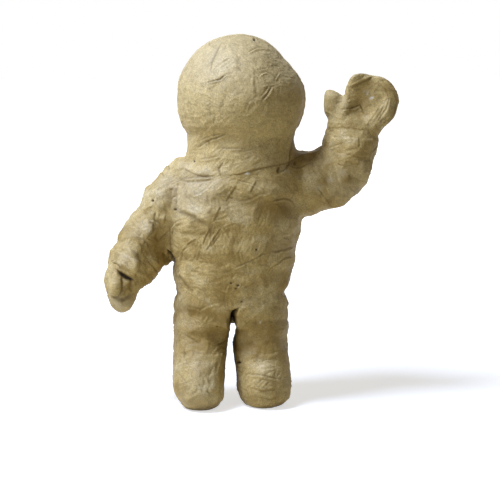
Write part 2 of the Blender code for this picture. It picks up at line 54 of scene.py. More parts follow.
# Camera, fitted to the outline in the photograph, which is 500 x 487 pixels
PHOTO_WIDTH, PHOTO_HEIGHT = 500, 487
CAMERA_AZIMUTH, CAMERA_ELEVATION = math.radians(-3.0), math.radians(8.0)
CAMERA_DISTANCE = 1.3
CAMERA_TARGET = Vector((0, 0, 0.12))
PIXELS_PER_METRE = 1541.0
TARGET_PIXEL = (251.2, 219.2)
SENSOR_WIDTH = 36.0
MM_PER_PIXEL = 1000 / PIXELS_PER_METRE
FLOOR_REACH = 3.0  # half the side of the white sheet

# Drawing the skin
VOXEL = 0.58 * MM
SWELL = 0.45 * MM  # closes the glue gaps between the solids before the skin is drawn
WELD = 0.01 * MM  # points closer than this become one
ROUNDING = 6  # passes that even out the drawn skin
ROUND_IN, ROUND_OUT = 0.6, -0.62  # each pass draws it in and then swells it back
BLENDING = 60  # passes that carry the values of one solid over to the next
MELTING = 70  # passes that run the paper of one solid into the next
MELT_WIDTH = 7.0  # the more, the farther from a border between two solids the paper melts
PAPER_WALL = 0.7 * MM
STRAY = 0.4 * MM  # points that stand out from their neighbours by more are pressed down

# Pasted strips and the card over the legs
STRIP_LIFT = 0.45 * MM
STRIP_REACH = 1.4 * MM  # the paper of a strip runs over its solid's edge by about this much
STRIP_SLOPE = 0.8 * MM
STRIP_TEAR = 0.8 * MM  # how far its torn edge wanders
STRIP_SEARCH = 4 * MM  # points farther off than this are left out
GLUE_GAP = 0.03 * MM
NOTCH = (-24 * MM, -18 * MM, -13 * MM, -8 * MM, -2 * MM)  # where the card is cut back behind the crotch
NOTCH_LEFT = 0.2  # share of the card's depth that is left there

# Lumps all over the paper: height in mm, and size
BROAD_LUMPS = (1.1, 26 * MM)
LEVEL_DENTS = (0.45, 11 * MM)
FOLD_RIDGES = (1.9, 15 * MM)
PUCKERS = (0.10, 4 * MM)
BLOTCHES = (0.4, 13 * MM)  # strength and size of paste stains all over

# Creases and paper edges, in mm
CREASE_FOOT = 1.7  # how far the groove lies beside the ridge, in half widths
CREASE_DEPTH = 0.7  # depth of the groove, as a share of the ridge
DARKEST_CREASE, DARKEST_LAP = 0.45, 0.8  # from this height on their painted shade is as dark as it gets
LAP_STEP = (-0.3, 0.4)  # from where to where the edge rises
LAP_SHADE_AT_FOOT, LAP_SHADE_WIDTH = -0.45, 0.4  # where the painted shade at its foot lies, and half its width
PINHOLE_DEPTH = 1.6

# Torn pieces and loose creases drawn at random, with sizes in mm
SEED = 11
SCATTER_REACH = 32 * MM  # farther from its middle nothing of a piece or crease is drawn
TORN_PIECES = 330  # laid over each other
TORN_HALF_LENGTH = (12, 25)
TORN_HALF_WIDTH = (6, 11)
TORN_EDGE = 0.13  # height
TORN_STEP = (-0.3, 0.5)  # from where to where the edge rises
WRINKLE_LENGTH, WRINKLE_WIDTH, WRINKLE_HEIGHT = 9, 2.1, 0.7  # of the wrinkles in a torn piece
LOOSE_CREASES = 260  # most of them at the sides and the back
LOOSE_HALF_LENGTH = (3, 12)
LOOSE_RIDGE = (0.20, 0.45)
LOOSE_HALF_WIDTH = 0.55

# Looks of the kraft paper
CLOUD_SIZE = 22 * MM
FOLD_SIZE = 6 * MM
FLECKS = (  # size, and how dark and how pale they make the paper
    (4.5 * MM, 0.87, 1.11),
    (0.9 * MM, 0.79, 1.21),
    (0.45 * MM, 0.82, 1.18),
)
FIBRES = ((2.4 * MM, 0.35 * MM), (0.9 * MM, 0.16 * MM))  # size and depth
WASHES = (  # mark, colour and how much of the paper it hides at most
    # stains, and painted shade in hollows and under folds
    ("stain_and_painted_shade", "#765a12", 0.80),
    # painted shade in creases, grooves and at the feet of paper edges
    ("painted_crease_shade", "#65501f", 0.60),
    # painted shade in pinholes, slits, the armpit and the crotch
    ("hole", "#24180b", 1.0),
    # pale dried glue, and painted light where the figure is lit brighter
    ("glue", "#dcd9cf", 0.75),
)

# Sockets of the Mix node, which go by number because several share a name
VALUE_A, VALUE_B = 2, 3
COLOUR_A, COLOUR_B, COLOUR_OUT = 6, 7, 2

# Solids under the skin: how lumpy, how far they melt into their neighbours, how evenly they are pressed
SKIN = {
    "helmet_front_shell": (0.30, 0.5, 0.0),
    "helmet_back_shell": (0.35, 0.5, 0.0),
    "neck_band": (0.6, 0.7, 0.2),
    "trunk_front_shell": (1.0, 1.0, 0.5),
    "trunk_back_shell": (1.0, 1.0, 0.5),
    "right_sleeve": (1.8, 1.0, 0.2),
    "left_sleeve": (1.1, 1.0, 0.2),
    "right_mitt": (0.8, 0.2, 0.0),
    "left_mitt": (0.7, 0.4, 0.0),
    "right_thumb": (0.6, 0.05, 0.0),
    "left_thumb": (0.5, 0.3, 0.0),
    "right_leg_wrap": (1.0, 1.3, 0.4),
    "left_leg_wrap": (1.0, 1.3, 0.4),
    "right_boot": (0.9, 1.2, 0.1),
    "left_boot": (0.9, 1.2, 0.1),
    "right_sole": (0.1, 0.5, 0.0),
    "left_sole": (0.1, 0.5, 0.0),
}
FILLS = (  # wads of paper in the inner corners: middle and reach in mm
    ((58.0, -5.5, 187.0), (8.0, 7.0, 12.0)),  # between the raised thumb and the palm
    ((60.5, -6.0, 193.5), (6.5, 7.0, 6.5)),
    ((-55.0, 0.0, 98.5), (3.6, 7.0, 7.5)),  # armpit of the lowered arm
    ((-21.0, -9.0, 47.0), (6.5, 10.0, 9.0)),  # inner corners of the legs, under the trunk
    ((-3.5, -9.0, 47.0), (6.5, 10.0, 9.0)),
    ((-21.0, 9.0, 47.0), (6.5, 10.0, 9.0)),
    ((-3.5, 9.0, 47.0), (6.5, 10.0, 9.0)),
    ((-33.0, -9.0, 36.5), (16.8, 16.6, 13.5)),  # ankles
    ((6.8, -9.0, 34.5), (16.8, 16.4, 14.5)),
)
STRIPS = (
    "helmet_seam_strip",
    "trunk_right_seam_strip",
    "trunk_left_seam_strip",
    "right_wrist_band",
    "left_wrist_band",
    "right_toe_cap",
    "left_toe_cap",
)
PIECES = tuple(SKIN)
DRAW = np.random.default_rng(SEED)

# Marks at their places in the photograph, in pixels. They are laid on the figure along the line of sight
NECK_LEFT = ((184, 169), (194, 174), (204, 177), (216, 175.5))  # lower edge of the neck band, in two parts
NECK_RIGHT = ((226, 175.5), (240, 174), (253, 170), (267, 167), (284, 163.5), (295, 159), (306, 153.5))
CREASES = (  # height of the ridge and half width in mm, then the points of the crease
    # helmet
    (0.25, 0.52, ((214, 41), (212, 46), (218, 49))),
    (0.35, 0.52, ((225, 77), (221, 81), (214, 82.5), (208, 84))),
    (0.30, 0.45, ((219, 81), (209, 84))),
    (0.45, 0.60, ((264, 49), (259, 49), (254, 51), (249, 54))),
    (0.10, 0.90, ((268, 69), (268, 60), (264, 50))),
    (0.38, 0.60, ((276, 79), (271, 75), (267, 73), (263, 74), (260, 77))),
    (0.35, 0.55, ((281, 73), (276, 80))),
    (0.60, 0.68, ((273, 88), (269, 95), (264, 101))),
    (0.35, 0.52, ((270, 87), (266, 93), (261, 98))),
    (0.18, 0.80, ((254, 96), (253, 84), (253, 70))),
    (0.25, 0.75, ((251, 102), (248, 108))),
    (0.25, 0.52, ((188, 84), (184, 83))),
    # neck
    (0.30, 0.60, ((224, 135), (212, 137), (201, 142))),
    (0.40, 0.68, ((226, 136), (208, 143), (198, 150))),
    (0.35, 0.60, ((243, 150), (233, 150), (221, 150))),
    (0.35, 0.68, ((221, 157), (210, 160), (200, 161))),
    # chest and belly
    (0.50, 1.60, ((179, 208), (194, 213), (209, 221))),
    (0.30, 1.50, ((180, 229), (196, 231), (208, 229))),
    (0.40, 0.75, ((214, 179), (200, 179), (181, 181))),
    (0.50, 0.52, ((226, 199), (230, 193), (235, 186))),
    (0.30, 0.60, ((213, 220), (220, 206))),
    (0.30, 0.60, ((249, 192), (255, 181))),
    (0.25, 0.80, ((274, 193), (260, 196), (251, 201), (240, 203), (226, 200))),
    (0.40, 0.45, ((290, 198), (292, 193))),
    (0.40, 0.52, ((202, 244), (205, 236), (209, 229))),
    (0.40, 0.52, ((206, 249), (213, 238), (220, 227))),
    (0.30, 0.52, ((210, 246), (216, 238), (219, 233))),
    (0.30, 0.52, ((229, 239), (225, 232), (222, 227))),
    (0.20, 0.45, ((195, 262), (199, 250))),
    (0.30, 0.50, ((179, 262), (182, 251), (188, 243), (196, 238))),
    (0.35, 0.75, ((294, 248), (284, 252), (274, 254))),
    (0.70, 0.90, ((181, 273), (188, 283), (192, 288))),
    # raised arm
    (0.45, 0.60, ((363, 112), (360, 107), (352, 110))),
    (0.40, 0.52, ((355, 109), (342, 111))),
    (0.20, 0.40, ((376, 122), (384, 110), (389, 97))),
    (0.18, 0.40, ((371, 124), (380, 111), (385, 101))),
    (0.15, 0.40, ((366, 125), (374, 114), (379, 106))),
    (0.35, 0.60, ((350, 86), (362, 80.5), (372, 76.5))),
    (0.35, 0.60, ((357, 147), (357, 138))),
    # legs and boots
    (0.30, 0.90, ((215, 305), (200, 312), (186, 309))),
    (0.30, 0.75, ((188, 334), (200, 342))),
    (0.45, 0.83, ((187, 349), (188, 359))),
    (0.50, 0.68, ((279, 381), (268, 379), (259, 377), (249, 376))),
    (0.30, 0.60, ((252, 386), (262, 389), (275, 388))),
    (0.30, 0.60, ((258, 394), (270, 397), (280, 393))),
    (0.22, 0.90, ((201, 369), (207, 383), (212, 397))),
)
LAPS = (  # height of a paper edge and reach of its slope in mm, then its points, raised to their right
    # neck band and its end
    (0.45, 5.0, NECK_RIGHT[::-1]),
    (0.45, 5.0, NECK_LEFT[::-1]),
    (0.50, 4.0, ((221, 178), (219, 169), (225, 161))),
    # flat faces and cuff of the lowered sleeve
    (3.00, 9.0, ((129, 247), (136, 254), (139, 260), (137.5, 267), (134, 276))),
    (2.20, 6.0, ((146, 218), (153, 226), (153, 231), (146, 238))),
    (1.10, 3.5, ((136, 281), (127, 276), (121, 272), (113, 266))),
    (0.70, 2.0, ((160, 212), (158, 218), (157, 225))),
    (0.70, 2.0, ((166, 213), (164.5, 219), (163, 224))),
    (0.60, 2.0, ((142, 239), (147, 244), (149, 250))),
    (0.60, 2.0, ((137, 242), (141, 247), (141.5, 253))),
    (0.80, 1.8, ((122, 268), (118, 263.5), (112, 262.5))),
    # heel of the raised palm over the wrist, its rolled rim and top fold
    (0.30, 5.0, ((379, 134), (369, 129.5), (356, 128.5), (342, 127), (325, 128))),
    (0.80, 3.5, ((377, 123), (387, 109), (389.5, 98), (386, 89), (377, 81))),
    (1.20, 3.5, ((373, 77), (362, 81.5), (350, 87))),
    (0.40, 2.5, ((355, 135), (355.5, 147), (345, 149))),
    # toe caps
    (0.35, 4.0, ((174, 369), (190, 366), (205, 364), (223, 359))),
    (0.30, 4.0, ((238, 365), (255, 360), (270, 361), (290, 363))),
)
DABS = (  # place, reach across and down in pixels, height in mm, and whether the back has it too
    # flattened upper side of the helmet
    (289, 57, 22, 24, -2.6, True),
    (205, 50, 34, 24, 0.6, True),
    (237, 36, 22, 8, 0.6, True),
    (304, 96, 6, 16, 0.7, True),
    (179, 74, 6, 12, 0.6, True),
    # chest, turned to the side
    (206, 200, 16, 22, 1.4, False),
    (172, 195, 8, 16, -1.0, False),
    # bulge of the belly
    (190, 296, 16, 8, 1.2, False),
    (189, 314, 18, 8, -1.3, False),
    # folds at the outline of the trunk and the legs
    (295, 141, 4, 8, 1.0, True),
    (300, 233, 3, 7, 1.3, True),
    (292, 276, 5, 17, 2.0, True),
    (289, 316, 4, 16, 0.6, True),
    (176, 283, 4, 11, 1.0, True),
    (237, 360, 4, 30, 1.3, True),
    (297, 251, 3, 8, -0.7, True),
    (289, 288, 4, 6, 0.8, True),
    (224, 388, 3, 12, -0.8, True),
    (286, 292, 16, 4, -0.9, True),
    (288, 301, 14, 5, 0.5, True),
    (287, 307, 12, 2.5, -0.6, True),
    (288, 320, 12, 2.5, -0.7, True),
    (289, 326, 12, 4, 0.6, True),
    (285, 336, 14, 5, -0.6, True),
    (177, 294, 14, 4, -0.9, True),
    (175, 303, 12, 5, 0.3, True),
    (176, 312, 12, 3, -0.6, True),
    (232, 319, 5, 8, -3.0, False),
    (233.5, 324, 3, 6, -2.8, True),
    (228, 327, 3, 5, 1.3, True),
    (204, 340, 24, 14, 0.9, True),
    (262, 338, 24, 14, 0.7, True),
    # lowered arm
    (164, 169, 9, 6, 1.2, True),
    (182, 156, 5, 3, -1.5, True),
    (134, 216, 7, 10, -1.2, True),
    (138, 207, 7, 10, -2.2, True),
    (108, 256, 4, 7, -0.8, True),
    (160, 271, 5, 4, 1.2, True),
    (165, 266, 4, 4, 1.7, True),
    (166, 262, 4, 4, 1.8, True),
    (107, 292, 4, 16, -0.9, True),
    (134, 302, 5, 10, 1.3, True),
    (130, 309, 5, 4, 1.0, True),
    (146, 286, 6, 4, 0.7, True),
    (173, 264, 3, 4, 0.9, True),
    (138, 211, 9, 4, -0.8, True),
    (120, 241, 9, 4, -1.3, True),
    (146, 228, 8, 7, 1.6, False),
    (160, 239, 7, 13, -3.8, False),
    (162, 219, 5, 3.5, 1.6, False),
    (150, 216, 5, 4, 1.2, False),
    (126, 256, 12, 9, 1.0, False),
    (148, 262, 6, 13, -3.0, False),
    # lowered mitt: thumb and curled fingers
    (115, 282, 6, 12, 2.2, False),
    (127, 285, 2.5, 7, 1.0, False),
    (122, 306, 9, 4, 0.8, False),
    # raised arm
    (378, 138, 5, 11, 1.5, True),
    (379, 136, 6, 3, -0.6, True),
    (371, 174, 5, 9, -0.7, True),
    (358, 193, 6, 4, 0.8, True),
    (304, 219, 4, 4, -0.9, True),
    (315, 147, 6, 3, 0.6, True),
    (397, 109, 5, 8, -1.2, True),
    (326, 121, 4, 8, 0.8, True),
    (345, 90, 3, 8, 0.5, True),
    (345, 88, 4, 9, 1.2, True),
    (325, 113, 5, 16, 1.3, True),
    (326, 122, 4, 7, 1.5, True),
    (334, 91, 7, 4, -1.4, True),
    (361, 108, 12, 16, -3.2, False),
    (388, 102, 5, 13, 1.4, False),
    (350, 123, 22, 4, 0.8, False),
    # boots
    (179, 402, 6, 7, -1.0, True),
    (291, 375, 4, 13, 1.3, True),
    (174, 384, 4, 10, 0.8, True),
    (200, 376, 7, 7, 0.8, False),
    (188, 354, 4, 6, -0.7, False),
)
GROOVES = (  # depth and half width in mm, how dark its painted shade is (past 1 as dark as a hole), then the points of the groove
    # helmet
    (0.30, 0.65, 1.0, ((222, 45), (216, 55), (212, 63), (211, 72))),
    (0.35, 0.45, 0.9, ((225, 75.5), (221, 79.5), (214, 81), (208, 82.5))),
    # lower edge of the neck band and its lapped end, with painted shade under them
    (0.35, 0.5, 0.9, NECK_LEFT),
    (0.35, 0.5, 0.9, NECK_RIGHT),
    (0.60, 0.7, 1.1, ((224, 162), (219, 169), (221, 177))),
    (0.70, 0.8, 0.9, ((293, 136), (291, 148), (289, 160))),
    # dark blots, and painted shade in the fold under the band
    (0.60, 0.9, 1.5, ((279, 167), (277.5, 173))),
    (0.50, 0.7, 1.4, ((294.5, 162), (294, 165.5))),
    (0.40, 0.5, 0.9, ((292, 160), (285, 168))),
    (0.50, 0.8, 0.7, ((176, 179), (188, 182), (200, 182), (214, 179))),
    # lowered mitt: slit under the cuff, and round the thumb, painted dark as shade
    (2.60, 1.5, 2.0, ((118, 271.5), (122, 275), (127, 278), (133.5, 280))),
    (1.00, 1.2, 0.4, ((156, 224), (156, 213))),
    (1.20, 0.9, 0.7, ((122, 277), (122.5, 289), (119, 297), (112, 298))),
    (1.00, 1.2, 0.5, ((131.5, 280), (131, 291))),
    (1.10, 1.1, 0.7, ((110, 295), (117, 299), (125, 299), (132, 293))),
    # painted shade along the outer edges of the raised palm and thumb, in brown
    (0.00, 0.8, 0.8, ((323, 96), (325, 108), (327, 120), (327, 131))),
    (0.00, 0.9, 0.9, ((385, 85), (393, 91), (397.5, 101), (395, 114), (384, 128))),
    # armpit and crotch, and the inner edges of the legs and of the lowered arm, painted dark as shade
    (2.20, 1.1, 1.7, ((168, 251), (172, 254.5), (174, 259), (174.5, 267))),
    (5.50, 1.7, 2.0, ((238, 309), (234, 314), (232.5, 319), (232.5, 327), (232, 340))),
    (0.00, 1.3, 1.4, ((236, 322), (235.5, 340), (236.5, 352), (238, 370))),
    (0.00, 0.8, 1.1, ((228.5, 328), (227.5, 345), (226, 366), (224, 388))),
    (0.35, 0.5, 0.5, ((177, 180), (176.5, 193), (177, 206))),
)
PINHOLES = (  # place and radius in mm; each pit is painted near black as shade
    (153.6, 201, 0.8),
    (175.6, 209.6, 0.7),
    (256.4, 249.7, 0.7),
    (217.3, 326.8, 0.6),
    (241.0, 362.4, 1.1),
    (231, 283.5, 0.6),
    (238, 285.5, 0.7),
    (236, 288.5, 0.6),
    (242, 301.7, 0.6),
    (254.5, 40.5, 0.8),
    (194.4, 161.4, 0.6),
)
STAINS_AND_PAINTED_SHADE = (  # place, reach across and down, strength; stains, and painted shade in hollows, under folds and along the inner legs
    (262, 206, 26, 11, 0.60),
    (284, 211, 13, 12, 0.75),
    (255, 215, 14, 6, 0.30),
    (279, 179, 14, 8, 0.45),
    (200, 338, 26, 28, 0.80),
    (262, 343, 26, 22, 0.55),
    (160, 184, 12, 10, 0.25),
    (278, 170, 2.5, 4, 1.0),
    (294, 164, 2, 2, 1.0),
    (262, 182, 12, 5, 0.4),
    # painted shade in the hollows of the lowered sleeve
    (158, 241, 8, 17, 0.30),
    (147, 262, 6, 15, 0.20),
    (270, 392, 22, 14, 0.35),
    # painted shade under the bulge of the belly
    (188, 300, 14, 10, 0.30),
    # painted shade in a hollow of the lowered sleeve
    (156, 234, 6, 9, 0.3),
    (333, 110, 6, 14, 0.3),
    # painted shade under the belly
    (190, 312, 15, 9, 0.3),
    # painted shade under the thumb of the lowered mitt
    (124, 299, 7, 4, 0.4),
    (352, 163, 17, 13, 0.40),
    (333, 184, 20, 14, 0.35),
    (327, 145, 3, 3, 0.6),
    (325, 181, 4, 5, 0.8),
    (348, 179, 6, 5, 0.7),
    (319, 172, 5, 3, 0.5),
    (386, 89, 4, 5, 0.8),
    # painted shade beside the lowered thumb
    (128, 286, 4, 8, 0.6),
    (122, 282, 1.5, 7, 0.8),
    (308, 158, 12, 5, 0.6),
    # painted shade under the top fold of the raised palm and in its hollow
    (357, 80, 8, 3, 0.6),
    (360, 110, 10, 12, 0.5),
    (205, 128, 20, 2, 0.35),
    # painted shade along the inner edges of the legs
    (238, 342, 3, 16, 0.9),
    (229, 334, 3, 9, 0.7),
)
PAINTED_LIGHT_FILMS = (  # place, reach across and down, and strength of pale films: painted light where the figure is lit brighter
    (205, 62, 32, 26, 0.10),
    (192, 194, 26, 22, 0.22),
    (143, 228, 18, 16, 0.06),
    (122, 305, 12, 9, 0.32),
    (354, 192, 22, 8, 0.26),
    (198, 404, 26, 12, 0.16),
    (126, 259, 10, 9, 0.20),
    (146, 229, 8, 7, 0.14),
    (330, 180, 4, 3, 0.25),
    (318, 188, 4, 3, 0.25),
    (342, 172, 4, 4, 0.20),
    (284, 245, 14, 14, 0.12),
)
GLUE_SPECKS_AND_HIGHLIGHTS = (  # place and reach of white dried glue; those on the raised palm also paint the highlight in its hollow
    (247, 173, 4, 1.5),
    (366, 93, 3, 2.5),
    (373, 97, 3.5, 4),
    (380, 126, 3, 3),
    (259, 322, 2, 2),
)


def smooth_step(low, high, values):
    """0 at low and 1 at high, with a soft start and end."""
    t = np.clip((values - low) / (high - low), 0, 1)
    return t * t * (3 - 2 * t)


def between(span, share):
    """The value at a share of the way through a span."""
    return span[0] + (span[1] - span[0]) * share


def camera_axes():
    """Directions to the right and up in the photograph, and back towards the camera."""
    sin_a, cos_a = math.sin(CAMERA_AZIMUTH), math.cos(CAMERA_AZIMUTH)
    sin_e, cos_e = math.sin(CAMERA_ELEVATION), math.cos(CAMERA_ELEVATION)
    right = Vector((cos_a, sin_a, 0))
    back = Vector((sin_a * cos_e, -cos_a * cos_e, sin_e))
    return right, back.cross(right), back


def to_photo(points):
    """Where points lie in the photograph, in pixels."""
    right, up, back = (np.array(axis) for axis in camera_axes())
    reach = points - np.array(CAMERA_TARGET) - back * CAMERA_DISTANCE
    size = PIXELS_PER_METRE * CAMERA_DISTANCE / -(reach @ back)
    return np.stack([TARGET_PIXEL[0] + reach @ right * size, TARGET_PIXEL[1] - reach @ up * size], 1)


def swollen_solids():
    """Welded copies of the solids under the skin, grown until they run into each other."""
    bm = bmesh.new()
    for name in (*SKIN, "hip_disc"):
        bm.from_mesh(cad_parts[name].data)
    bmesh.ops.remove_doubles(bm, verts=bm.verts, dist=WELD)
    bm.normal_update()
    for vert in bm.verts:
        vert.co += vert.normal * SWELL
    for middle, reach in FILLS:
        place = Matrix.Translation(Vector(middle) * MM) @ Matrix.Diagonal((*(Vector(reach) * MM), 1))
        bmesh.ops.create_icosphere(bm, subdivisions=3, radius=1, matrix=place)
    return bm


def draw_skin():
    """Points and quads of one even mesh round the outside of all the solids."""
    solids = swollen_solids()
    mesh = bpy.data.meshes.new("skin")
    solids.to_mesh(mesh)
    solids.free()
    obj = bpy.data.objects.new("skin", mesh)
    bpy.context.scene.collection.objects.link(obj)
    remesh = obj.modifiers.new("even", "REMESH")
    remesh.mode = "VOXEL"
    remesh.voxel_size = VOXEL
    bpy.context.view_layer.update()
    even = obj.evaluated_get(bpy.context.evaluated_depsgraph_get()).to_mesh()
    points = np.zeros(len(even.vertices) * 3)
    even.vertices.foreach_get("co", points)
    quads = np.zeros(len(even.loops), int)
    even.loops.foreach_get("vertex_index", quads)
    bpy.data.objects.remove(obj)
    return outer_surface(points.reshape(-1, 3), quads.reshape(-1, 4))


def outer_surface(points, quads):
    """What hangs together with the highest point, so not the walls of the hollows inside."""
    reached = np.zeros(len(points), bool)
    reached[points[:, 2].argmax()] = True
    before = 0
    while reached.sum() > before:
        before = reached.sum()
        reached[quads[reached[quads].any(1)]] = True
    place = np.cumsum(reached) - 1
    return points[reached], place[quads[reached[quads].all(1)]]


def spread(values, quads, share):
    """Moves each value towards the mean of its neighbours on the skin, by a share of the way."""
    a, b = quads.ravel(), np.roll(quads, -1, 1).ravel()
    near = np.bincount(a, minlength=len(values))
    total = np.stack([np.bincount(a, column[b], len(values)) for column in values.T], 1)
    return values + share * (total / near[:, None] - values)


def point_normals(points, quads):
    """Directions out of the skin at its points."""
    p, q, r, s = (points[quads[:, k]] for k in range(4))
    face = np.cross(r - p, s - q)
    corners = quads.ravel()
    total = np.stack([np.bincount(corners, np.repeat(side, 4), len(points)) for side in face.T], 1)
    return total / np.linalg.norm(total, axis=1, keepdims=True)


def nearest_solid(points):
    """The number of the solid that each point of the skin lies on."""
    corners, faces, owner = [], [], []
    for number, name in enumerate(PIECES):
        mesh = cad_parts[name].data
        first = len(corners)
        corners += [vert.co for vert in mesh.vertices]
        faces += [[first + k for k in polygon.vertices] for polygon in mesh.polygons]
        owner += [number] * len(mesh.polygons)
    tree = BVHTree.FromPolygons(corners, faces)
    return np.array([owner[tree.find_nearest(point)[2]] for point in points.tolist()])


def quad_owners(quads, solid):
    """The number of the solid that each quad goes to, with an even border between two of them."""
    share = np.eye(len(PIECES))[solid]
    for _ in range(4):
        share = spread(share, quads, 0.9)
    return share[quads].sum(1).argmax(1)


def melt_together(points, quads, solid):
    """Runs the paper of each solid into the next, and says how lumpy it is at each point."""
    lumps, melts, evens = np.array([SKIN[name] for name in PIECES]).T
    border = np.zeros(len(points))
    border[quads[np.ptp(solid[quads], 1) > 0]] = 1
    values = np.stack([lumps[solid], evens[solid], melts[solid] * border], 1)
    for _ in range(BLENDING):
        values = spread(values, quads, 0.9)
    lumpy, even, melt = values.T
    melt = np.clip(MELT_WIDTH * melt + even, 0, 0.9)[:, None]
    for _ in range(MELTING):
        points = spread(points, quads, melt)
    return points, lumpy


def cloud(points, size, seed, stretch=(1, 1, 1)):
    """Soft noise from about -1 to 1 whose blobs are size across."""
    scaled = points / (size * np.array(stretch)) + seed * np.array((7.31, 3.17, 5.73))
    return np.array([noise.noise(point) for point in scaled.tolist()])


def spot(view, x, y, wide, high, sharp=2):
    """1 at a place in the photograph, and less with distance, by a reach across and down in pixels."""
    apart = np.linalg.norm((view - (x, y)) / (wide, high), axis=1)
    return np.exp(-(apart**sharp))


class Line:
    """A line drawn on the photograph: how far points lie off it, to which side, and how far along it."""

    def __init__(self, view, marks):
        marks = np.array(marks, float)
        best = np.full(len(view), np.inf)
        self.off = np.zeros(len(view))
        self.along = np.zeros(len(view))
        lengths = np.linalg.norm(np.diff(marks, axis=0), axis=1)
        starts = np.concatenate([[0], np.cumsum(lengths)]) / lengths.sum()
        for k, length in enumerate(lengths):
            way = (marks[k + 1] - marks[k]) / length
            rel = view - marks[k]
            t = np.clip(rel @ way, 0, length)
            apart = np.linalg.norm(rel - t[:, None] * way, axis=1)
            side = np.sign(way[0] * rel[:, 1] - way[1] * rel[:, 0])
            closer = apart < best
            best[closer] = apart[closer]
            self.off[closer] = (apart * side)[closer] * MM_PER_PIXEL
            self.along[closer] = (starts[k] + t / length * (starts[k + 1] - starts[k]))[closer]


def taper(along):
    """Fades a line out at both ends."""
    return np.clip(np.minimum(along, 1 - along) * 5 + 0.35, 0, 1)


def press_crease(height, dark, off, strength, ridge, width):
    """Adds a pressed fold of the paper: a ridge with a groove at one side, painted dark as shade."""
    top = np.exp(-((off / width) ** 2))
    foot = np.exp(-(((off - CREASE_FOOT * width) / width) ** 2))
    height += strength * ridge * (top - CREASE_DEPTH * foot)
    dark += strength * min(1.0, ridge / DARKEST_CREASE) * foot


def lay_lap(height, dark, drawn, strength, lift, reach):
    """Adds the edge of a layer of paper: a step, a slope behind it that runs out, and painted shade at its
    foot.
    """
    strength = strength * smooth_step(0, 0.25, np.minimum(drawn.along, 1 - drawn.along))
    step = smooth_step(*LAP_STEP, drawn.off)
    height += strength * lift * step * np.exp(-np.maximum(drawn.off, 0) / reach)
    foot_shade = np.exp(-(((drawn.off - LAP_SHADE_AT_FOOT) / LAP_SHADE_WIDTH) ** 2))
    dark += strength * min(1.0, lift / DARKEST_LAP) * foot_shade


def scatter(points, normals, count, shy):
    """Yields places drawn on the skin: the points near each, how far along and off they lie, and a draw."""
    rising = np.argsort(points[:, 2])
    levels = points[rising, 2]
    for _ in range(count):
        middle = DRAW.integers(len(points))
        turn = DRAW.normal(0.0, 0.9)
        chance, keep = DRAW.uniform(0, 1, 2)
        if keep < shy[middle]:
            continue
        side = np.cross((0, 0, 1.0), normals[middle]) + (1e-9, 0, 0)
        side /= np.linalg.norm(side)
        way = side * math.cos(turn) + np.cross(normals[middle], side) * math.sin(turn)
        reach = np.array((-SCATTER_REACH, SCATTER_REACH))
        first, last = np.searchsorted(levels, points[middle, 2] + reach)
        near = rising[first:last]
        near = near[np.abs(points[near, 0] - points[middle, 0]) < SCATTER_REACH]
        near = near[normals[near] @ normals[middle] > 0.3]
        rel = (points[near] - points[middle]) / MM
        yield near, rel @ way, rel @ np.cross(normals[middle], way), chance


def lay_torn_paper(points, normals, height, marks):
    """Torn pieces of paper, one over the other: each has an edge, wrinkles and a tone of its own."""
    wrinkle = 0.10 * cloud(points, 3 * MM, 7)
    for near, along, off, chance in scatter(points, normals, TORN_PIECES, np.zeros(len(points))):
        wobble = 0.9 * np.sin(along * 0.7 + chance * 20) + 0.6 * np.sin(off * 1.1 + along * 0.3)
        from_ends = between(TORN_HALF_LENGTH, chance) - np.abs(along)
        from_sides = between(TORN_HALF_WIDTH, 1 - chance) - np.abs(off)
        inside = np.minimum(from_ends, from_sides) + wobble
        on = smooth_step(*TORN_STEP, inside)
        height[near] += TORN_EDGE * on
        # Painted shade just outside the torn edge, where it steps down; the piece covers the shade of those
        # under it
        marks["painted_crease_shade"][near] *= 1 - on
        marks["painted_crease_shade"][near] += 0.25 * np.exp(-(((inside + 0.5) / 0.5) ** 2))
        across, down = along / WRINKLE_LENGTH + 0.3 * np.sin(off / 3), off / WRINKLE_WIDTH
        local = np.stack([across, down, np.full(len(near), 31 * chance)], 1)
        own = np.array([0.09 - abs(noise.noise(place)) for place in local.tolist()])
        wrinkle[near] += on * (WRINKLE_HEIGHT * own - wrinkle[near])
        marks["tone"][near] += on * (math.sin(97 * chance) - marks["tone"][near])
    return wrinkle


def raise_lumps(points, lumpy):
    """Lumps of hand-laid paper: broad ones, level dents, ridges between hollows, and fine puckers."""
    height = np.zeros(len(points))
    height += lumpy * BROAD_LUMPS[0] * cloud(points, BROAD_LUMPS[1], 1)
    height += lumpy * LEVEL_DENTS[0] * cloud(points, LEVEL_DENTS[1], 2, (1.8, 1.8, 0.9))
    height += lumpy * FOLD_RIDGES[0] * (0.2 - np.abs(cloud(points, FOLD_RIDGES[1], 5)))
    height += (0.3 + lumpy) * PUCKERS[0] * cloud(points, PUCKERS[1], 3)
    return height


def draw_lines(view, front, facing, height, marks):
    """Creases, paper edges and grooves, with painted shade in them, where the photograph shows them."""
    for ridge, width, line in CREASES:
        drawn = Line(view, line)
        press_crease(height, marks["painted_crease_shade"], drawn.off, front * taper(drawn.along), ridge, width)
    for lift, reach, line in LAPS:
        lay_lap(height, marks["painted_crease_shade"], Line(view, line), front, lift, reach)
    for depth, width, dark, line in GROOVES:
        drawn = Line(view, line)
        half = width * (0.4 + 0.6 * np.sin(math.pi * drawn.along))
        groove = np.exp(-((drawn.off / half) ** 2)) * facing * taper(drawn.along)
        height -= depth * groove
        marks["painted_crease_shade"] += min(dark, 1.0) * groove
        marks["hole"] += max(dark - 1.0, 0.0) * groove


